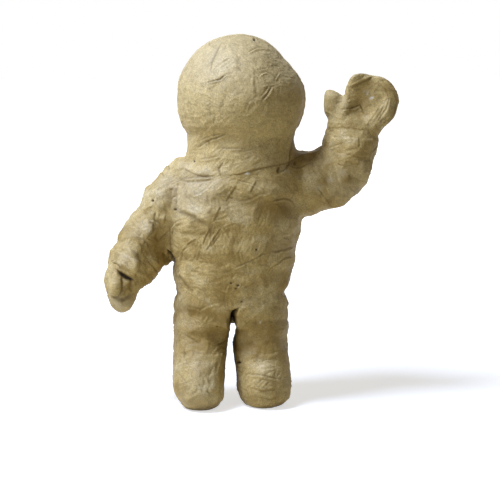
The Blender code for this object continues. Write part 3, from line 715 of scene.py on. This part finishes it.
def press_spots(points, view, front, facing, height, marks):
    """Dents, bulges, pinholes painted dark as shade, white glue specks, a painted highlight and pale films
    of painted light, where the photograph shows them.
    """
    for *place, lift, through in DABS:
        height += lift * spot(view, *place) * (1 if through else front)
    for x, y, radius in PINHOLES:
        reach = radius / MM_PER_PIXEL
        pit = spot(view, x, y, reach, reach, 4) * front
        height -= PINHOLE_DEPTH * pit
        marks["hole"] += pit
    # Pale films of painted light, where the figure is lit brighter
    for *place, strength in PAINTED_LIGHT_FILMS:
        marks["glue"] += strength * facing * spot(view, *place)
    ragged = smooth_step(-0.1, 0.3, cloud(points, 2.2 * MM, 9))
    # White dried glue, and a painted highlight in the hollow of the raised palm
    for place in GLUE_SPECKS_AND_HIGHLIGHTS:
        marks["glue"] += front * ragged * spot(view, *place, 4)


def scatter_creases(points, normals, shy, height, marks):
    """Short loose creases, bent a little, with painted shade in their grooves."""
    for near, along, off, chance in scatter(points, normals, LOOSE_CREASES, shy):
        half = between(LOOSE_HALF_LENGTH, chance)
        bend = off - math.sin(53 * chance) * 0.03 * along**2
        strength = taper(np.clip((along + half) / (2 * half), 0, 1)) * (np.abs(along) < half)
        raised, dark = np.zeros((2, len(near)))
        press_crease(raised, dark, bend, strength, between(LOOSE_RIDGE, chance), LOOSE_HALF_WIDTH)
        height[near] += raised
        marks["painted_crease_shade"][near] += 0.8 * dark


def work_skin(points, normals, lumpy):
    """Heights of all folds and marks over the plain skin, in mm, and how much painted shade its creases and
    holes get, how stained and shaded it is, and where glue and painted light pale it.
    """
    view = to_photo(points)
    towards = normals @ np.array(camera_axes()[2])
    front = smooth_step(0.05, 0.3, towards)
    facing = smooth_step(-0.25, 0.05, towards)  # reaches a little past the outline
    height = raise_lumps(points, lumpy)
    marks = {name: np.zeros(len(points)) for name in ("tone", "painted_crease_shade", "stain_and_painted_shade", "hole", "glue")}
    marks["calm"] = 0.9 * smooth_step(1.0, 0.3, lumpy)
    blotches = smooth_step(0.1, 0.5, cloud(points, BLOTCHES[1], 21))
    marks["stain_and_painted_shade"] += BLOTCHES[0] * blotches * (1 - marks["calm"])
    # Stains, and painted shade in hollows, under folds and along the inner legs
    for *place, strength in STAINS_AND_PAINTED_SHADE:
        marks["stain_and_painted_shade"] += strength * front * spot(view, *place)
    wrinkle = lay_torn_paper(points, normals, height, marks)
    # The painted shade in this mark flattens the wrinkles as the stains do
    slack = 1 - 0.6 * np.clip(marks["stain_and_painted_shade"], 0, 1)  # soaked paper lies flatter
    height += np.minimum(0.35 + 0.65 * lumpy, 1.2) * slack * wrinkle
    draw_lines(view, front, facing, height, marks)
    press_spots(points, view, front, facing, height, marks)
    smoothness = 1 - np.clip(lumpy, 0.1, 1) ** 2
    scatter_creases(points, normals, np.maximum(smoothness, 0.5 * front), height, marks)
    return height, {name: np.clip(values, -1, 1) for name, values in marks.items()}


def paper_piece(name, node, quads, outer, inner, normals, marks, material):
    """A closed piece of paper: its face, its back and the torn rim between them, in place of a solid."""
    used, faces = np.unique(quads, return_inverse=True)
    faces = faces.reshape(-1, 4)
    count = len(used)
    a, b = faces.ravel(), np.roll(faces, -1, 1).ravel()
    open_edge = ~np.isin(a * count + b, b * count + a)
    a, b = a[open_edge], b[open_edge]
    rim = np.stack([b, a, a + count, b + count], 1)
    every = np.concatenate([faces, faces[:, ::-1] + count, rim]).astype(np.int32)
    mesh = bpy.data.meshes.new(name)
    mesh.vertices.add(2 * count)
    mesh.vertices.foreach_set("co", np.concatenate([outer[used], inner[used]]).ravel())
    mesh.loops.add(every.size)
    mesh.loops.foreach_set("vertex_index", every.ravel())
    mesh.polygons.add(len(every))
    mesh.polygons.foreach_set("loop_start", np.arange(0, every.size, 4, dtype=np.int32))
    smooth = np.ones(len(every), bool)
    smooth[2 * len(faces) :] = False
    mesh.polygons.foreach_set("use_smooth", smooth)
    mesh.update(calc_edges=True)
    turned = np.zeros((len(every), 4, 3))
    turned[: len(faces)] = normals[used][faces]
    mesh.normals_split_custom_set(turned.reshape(-1, 3).tolist())
    for mark, values in marks.items():
        layer = mesh.attributes.new(mark, "FLOAT", "POINT")
        layer.data.foreach_set("value", np.tile(values[used], 2))
    mesh.materials.append(material)
    obj = bpy.data.objects.new(name, mesh)
    bpy.context.scene.collection.objects.link(obj)
    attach(obj, "root")
    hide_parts(node)


def off_strip(node, points):
    """How far the points of the skin lie from a pasted strip, with a torn edge."""
    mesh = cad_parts[node].data
    tree = BVHTree.FromPolygons([v.co for v in mesh.vertices], [list(f.vertices) for f in mesh.polygons])
    low, high = (np.array(corner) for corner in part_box(node))
    near = np.flatnonzero(((points > low - STRIP_SEARCH) & (points < high + STRIP_SEARCH)).all(1))
    apart = np.full(len(points), 1.0)
    apart[near] = [tree.find_nearest(point)[3] for point in points[near].tolist()]
    apart[near] += STRIP_TEAR * cloud(points[near], 3 * MM, 6)
    return apart


def press_down(points, quads):
    """Presses down points that stand out from their neighbours, and keeps the soles on the floor."""
    for _ in range(3):
        mean = spread(points, quads, 1.0)
        stray = np.linalg.norm(points - mean, axis=1) > STRAY
        points[stray] = mean[stray]
    points[:, 2] = np.maximum(points[:, 2], 0)
    return points


def dress_figure(card):
    """Draws and works the skin, parts it into a piece of paper for each solid, and pastes the strips on."""
    kraft = pasted_kraft_paper("pasted_kraft_paper", ("#927942", "#b39c68", "#c5b48a"))
    points, quads = draw_skin()
    for _ in range(ROUNDING):
        points = spread(spread(points, quads, ROUND_IN), quads, ROUND_OUT)
    points = points - point_normals(points, quads) * SWELL
    solid = nearest_solid(points)
    points, lumpy = melt_together(points, quads, solid)
    normals = point_normals(points, quads)
    height, marks = work_skin(points, normals, lumpy)
    worked = press_down(points + normals * (height * MM)[:, None], quads)
    worked_normals = point_normals(worked, quads)
    inner = points + normals * (np.minimum(height, 0) * MM - PAPER_WALL)[:, None]
    owner = quad_owners(quads, solid)
    for number, name in enumerate(PIECES):
        part = name.replace("_shell", "")
        look = card if name.endswith("_sole") else kraft
        own = quads[owner == number]
        paper_piece(f"{part}_paper", name, own, worked, inner, worked_normals, marks, look)
    for name in STRIPS:
        apart = off_strip(name, points)
        covered = quads[(apart[quads] < STRIP_REACH + VOXEL).all(1)]
        raised = smooth_step(STRIP_REACH, STRIP_REACH - STRIP_SLOPE, apart)[:, None]
        outer = worked + worked_normals * (2 * GLUE_GAP + STRIP_LIFT * raised)
        under = worked + worked_normals * GLUE_GAP
        paper_piece(f"{name}_paper", name, covered, outer, under, point_normals(outer, quads), marks, kraft)


def notch_hip_disc(card):
    """The card disc over the legs, cut back where the crotch is pressed in deeper than in the solids."""
    bm = bmesh.new()
    bm.from_mesh(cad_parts["hip_disc"].data)
    for x in NOTCH:
        every = [*bm.verts, *bm.edges, *bm.faces]
        bmesh.ops.bisect_plane(bm, geom=every, plane_co=(x, 0, 0), plane_no=(1, 0, 0))
    for vert in bm.verts:
        if NOTCH[0] < vert.co.x < NOTCH[-1] - WELD:
            vert.co.y *= NOTCH_LEFT
    mesh = bpy.data.meshes.new("hip_disc_card")
    bm.to_mesh(mesh)
    bm.free()
    mesh.materials.append(card)
    disc = bpy.data.objects.new("hip_disc_card", mesh)
    bpy.context.scene.collection.objects.link(disc)
    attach(disc, "root")
    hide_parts("hip_disc")


def dress_inside(card):
    """The other solids inside keep their shape: newsprint for the arm cores, card for the tubes."""
    newsprint = fibre_board("rolled_newsprint", ("#a8a294", "#c9c4b6"), 3.0 * MM, 0.15 * MM)
    replaced = {*SKIN, *STRIPS, "hip_disc"}
    for name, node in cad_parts.items():
        if name not in replaced:
            node.data.materials.clear()
            node.data.materials.append(newsprint if name.endswith("_core") else card)


def linear(colour):
    """An sRGB hex colour as linear red, green, blue and alpha."""
    parts = [int(colour[k : k + 2], 16) / 255 for k in (1, 3, 5)]
    return (*(c / 12.92 if c <= 0.04045 else ((c + 0.055) / 1.055) ** 2.4 for c in parts), 1.0)


def add_node(tree, kind, inputs=None, **settings):
    """Adds a node with its settings. An input takes a value, or a socket to link from."""
    node = tree.nodes.new(kind)
    for name, value in settings.items():
        setattr(node, name, value)
    for name, value in (inputs or {}).items():
        if isinstance(value, bpy.types.NodeSocket):
            tree.links.new(value, node.inputs[name])
        else:
            node.inputs[name].default_value = value
    return node


def new_material(name):
    """A new material with its nodes and its shader."""
    material = bpy.data.materials.new(name)
    material.use_nodes = True
    tree = material.node_tree
    return material, tree, tree.nodes["Principled BSDF"]


def clouded_kraft(tree, clouds, shades):
    """Kraft brown in clouds, with a tone for each torn piece, and evener where the paper lies smooth."""
    tone = add_node(tree, "ShaderNodeAttribute", attribute_name="tone").outputs["Fac"]
    shade = add_node(tree, "ShaderNodeMath", {0: tone, 1: 0.06, 2: clouds}, operation="MULTIPLY_ADD")
    calm = add_node(tree, "ShaderNodeAttribute", attribute_name="calm").outputs["Fac"]
    shade = add_node(tree, "ShaderNodeMix", {"Factor": calm, VALUE_A: shade.outputs[0], VALUE_B: 0.56})
    ramp = add_node(tree, "ShaderNodeValToRGB", {"Fac": shade.outputs[0]})
    ramp.color_ramp.elements.new(0.5)
    for stop, position, colour in zip(ramp.color_ramp.elements, (0.27, 0.5, 0.73), shades):
        stop.position, stop.color = position, linear(colour)
    return ramp.outputs["Color"]


def fleck(tree, place, colour):
    """Darker and paler flecks of pulp. The fibres are too fine to show, so they are drawn coarser."""
    for size, low, high in FLECKS:
        blots = add_node(tree, "ShaderNodeTexNoise", {"Vector": place, "Scale": 1 / size, "Detail": 4.0})
        span = {"From Min": 0.3, "From Max": 0.7, "To Min": low, "To Max": high}
        gain = add_node(tree, "ShaderNodeMapRange", {"Value": blots.outputs["Fac"], **span})
        both = {"Factor": 1.0, COLOUR_A: colour, COLOUR_B: gain.outputs["Result"]}
        mixed = add_node(tree, "ShaderNodeMix", both, data_type="RGBA", blend_type="MULTIPLY")
        colour = mixed.outputs[COLOUR_OUT]
    return colour


def dark_fold_lines(tree, place, clouds):
    """How dark thin fold lines drawn into the colour are; they come and go over the paper with its clouds.
    """
    waves = {"Vector": place, "Scale": 1 / FOLD_SIZE, "Detail": 2.0, "Distortion": 0.8}
    slack = add_node(tree, "ShaderNodeTexNoise", waves).outputs["Fac"]
    fold = add_node(tree, "ShaderNodeMath", {0: slack, 1: 0.5, 2: 0.014}, operation="COMPARE").outputs[0]
    span = {"From Min": 0.42, "From Max": 0.58, "To Min": 0.0, "To Max": 0.30}
    fold_darkness = add_node(tree, "ShaderNodeMapRange", {"Value": clouds, **span}).outputs["Result"]
    return add_node(tree, "ShaderNodeMath", {0: fold, 1: fold_darkness}, operation="MULTIPLY").outputs[0]


def fibre_relief(tree, place):
    """Fibres and dried paste in relief, which break up the shine. They too are drawn coarser."""
    normal = None
    for size, depth in FIBRES:
        fibre = add_node(tree, "ShaderNodeTexNoise", {"Vector": place, "Scale": 1 / size, "Detail": 3.0})
        relief = {"Height": fibre.outputs["Fac"], "Strength": 0.7, "Distance": depth}
        if normal:
            relief["Normal"] = normal
        normal = add_node(tree, "ShaderNodeBump", relief).outputs["Normal"]
    return normal


def pasted_kraft_paper(name, shades):
    """Kraft paper torn, pasted and pressed by hand: satin where glued, clouded, with short fibres, stains,
    painted shade and painted light.
    """
    material, tree, shader = new_material(name)
    place = add_node(tree, "ShaderNodeTexCoord").outputs["Object"]
    soft = {"Vector": place, "Scale": 1 / CLOUD_SIZE, "Detail": 7.0, "Roughness": 0.65}
    clouds = add_node(tree, "ShaderNodeTexNoise", soft).outputs["Fac"]
    colour = fleck(tree, place, clouded_kraft(tree, clouds, shades))
    layers = [(dark_fold_lines(tree, place, clouds), "#5f4a20")]
    # Washes of the marks: stains with painted shade, painted shade in creases and holes, glue with painted
    # light
    for mark, hue, most in WASHES:
        drawn = add_node(tree, "ShaderNodeAttribute", attribute_name=mark).outputs["Fac"]
        share = add_node(tree, "ShaderNodeMath", {0: drawn, 1: most}, operation="MULTIPLY", use_clamp=True)
        layers.append((share.outputs[0], hue))
    for share, hue in layers:
        both = {"Factor": share, COLOUR_A: colour, COLOUR_B: linear(hue)}
        colour = add_node(tree, "ShaderNodeMix", both, data_type="RGBA").outputs[COLOUR_OUT]
    tree.links.new(colour, shader.inputs["Base Color"])
    tree.links.new(fibre_relief(tree, place), shader.inputs["Normal"])
    shader.inputs["Roughness"].default_value = 0.58
    shader.inputs["Specular IOR Level"].default_value = 0.3
    return material


def fibre_board(name, shades, size, grain):
    """Card or newsprint of pressed waste pulp: quite matt, with darker and paler fibres lying in it."""
    material, tree, shader = new_material(name)
    place = add_node(tree, "ShaderNodeTexCoord").outputs["Object"]
    flecks = add_node(tree, "ShaderNodeTexNoise", {"Vector": place, "Scale": 1 / size, "Detail": 5.0})
    ramp = add_node(tree, "ShaderNodeValToRGB", {"Fac": flecks.outputs["Fac"]})
    for stop, position, colour in zip(ramp.color_ramp.elements, (0.38, 0.62), shades):
        stop.position, stop.color = position, linear(colour)
    tree.links.new(ramp.outputs["Color"], shader.inputs["Base Color"])
    relief = {"Height": flecks.outputs["Fac"], "Strength": 0.6, "Distance": grain}
    bump = add_node(tree, "ShaderNodeBump", relief)
    tree.links.new(bump.outputs["Normal"], shader.inputs["Normal"])
    shader.inputs["Roughness"].default_value = 0.85
    return material


def set_camera():
    """Stands the camera where the photograph was taken from."""
    right, up, back = camera_axes()
    data = bpy.data.cameras.new("camera")
    data.sensor_width = SENSOR_WIDTH
    data.lens = PIXELS_PER_METRE * CAMERA_DISTANCE * SENSOR_WIDTH / PHOTO_WIDTH
    data.shift_x = (PHOTO_WIDTH / 2 - TARGET_PIXEL[0]) / PHOTO_WIDTH
    data.shift_y = (TARGET_PIXEL[1] - PHOTO_HEIGHT / 2) / PHOTO_WIDTH
    camera = bpy.data.objects.new("camera", data)
    turn = Matrix((right, up, back)).transposed().to_4x4()
    camera.matrix_world = Matrix.Translation(CAMERA_TARGET + back * CAMERA_DISTANCE) @ turn
    bpy.context.scene.collection.objects.link(camera)
    bpy.context.scene.camera = camera


def add_lamp(name, place, size, power, colour):
    """A round soft lamp that points at the figure."""
    data = bpy.data.lights.new(name, "AREA")
    data.shape, data.size, data.energy = "DISK", size, power
    data.color = linear(colour)[:3]
    lamp = bpy.data.objects.new(name, data)
    lamp.location = place
    lamp.rotation_euler = (CAMERA_TARGET - Vector(place)).to_track_quat("-Z", "Y").to_euler()
    bpy.context.scene.collection.objects.link(lamp)


def seen_directly(tree):
    """1 for what the camera sees, directly or in a reflection, and 0 for light on the figure."""
    path = add_node(tree, "ShaderNodeLightPath")
    seen = path.outputs["Is Camera Ray"]
    for ray in ("Is Glossy Ray", "Is Transmission Ray"):
        either = {0: seen, 1: path.outputs[ray]}
        seen = add_node(tree, "ShaderNodeMath", either, operation="MAXIMUM").outputs[0]
    return seen


def set_studio():
    """A white room that lights the figure only faintly, and three lamps."""
    world = bpy.data.worlds.new("studio")
    world.use_nodes = True
    tree = world.node_tree
    fill = tree.nodes["Background"]
    fill.inputs["Color"].default_value = linear("#ffe6b4")
    fill.inputs["Strength"].default_value = 0.05
    white = add_node(tree, "ShaderNodeBackground", {"Color": linear("#ffffff"), "Strength": 1.0})
    both = {0: seen_directly(tree), 1: fill.outputs[0], 2: white.outputs[0]}
    mixed = add_node(tree, "ShaderNodeMixShader", both)
    tree.links.new(mixed.outputs[0], tree.nodes["World Output"].inputs["Surface"])
    bpy.context.scene.world = world
    add_lamp("key_lamp", (-0.74, -0.38, 1.49), 0.6, 47.0, "#d2e0ff")
    add_lamp("low_fill_lamp", (-1.34, -0.77, 0.53), 0.8, 6.0, "#e4ecff")
    add_lamp("back_fill_lamp", (0.10, 1.60, 0.45), 0.8, 3.0, "#fff2dc")


def white_paper_sweep():
    """White paper that runs out into the white room, a little darker round the feet."""
    material, tree, shader = new_material("white_paper_sweep")
    seen = seen_directly(tree)
    both = {"Factor": seen, COLOUR_A: linear("#d8ca9e"), COLOUR_B: linear("#c9c9c9")}
    sheet = add_node(tree, "ShaderNodeMix", both, data_type="RGBA")
    tree.links.new(sheet.outputs[COLOUR_OUT], shader.inputs["Base Color"])
    shader.inputs["Roughness"].default_value = 0.9
    place = add_node(tree, "ShaderNodeTexCoord").outputs["Object"]
    far = add_node(tree, "ShaderNodeVectorMath", {0: place}, operation="LENGTH")
    span = {"From Min": 0.15, "From Max": 0.7, "To Min": 0.62, "To Max": 1.0}
    away = add_node(tree, "ShaderNodeMapRange", {"Value": far.outputs["Value"], **span})
    glow = add_node(tree, "ShaderNodeMath", {0: seen, 1: away.outputs["Result"]}, operation="MULTIPLY")
    shader.inputs["Emission Color"].default_value = linear("#ffffff")
    tree.links.new(glow.outputs[0], shader.inputs["Emission Strength"])
    return material


def add_floor():
    """A sheet of paper under the figure."""
    mesh = bpy.data.meshes.new("floor")
    corners = [(FLOOR_REACH * x, FLOOR_REACH * y, 0) for x, y in ((-1, -1), (1, -1), (1, 1), (-1, 1))]
    mesh.from_pydata(corners, [], [(0, 1, 2, 3)])
    mesh.materials.append(white_paper_sweep())
    floor = bpy.data.objects.new("floor", mesh)
    bpy.context.scene.collection.objects.link(floor)


grey_card = fibre_board("pressed_grey_card", ("#85785a", "#a39677"), 1.6 * MM, 0.10 * MM)
dress_figure(grey_card)
notch_hip_disc(grey_card)
dress_inside(grey_card)
set_camera()
set_studio()
add_floor()
bpy.context.scene.view_settings.view_transform = "Standard"
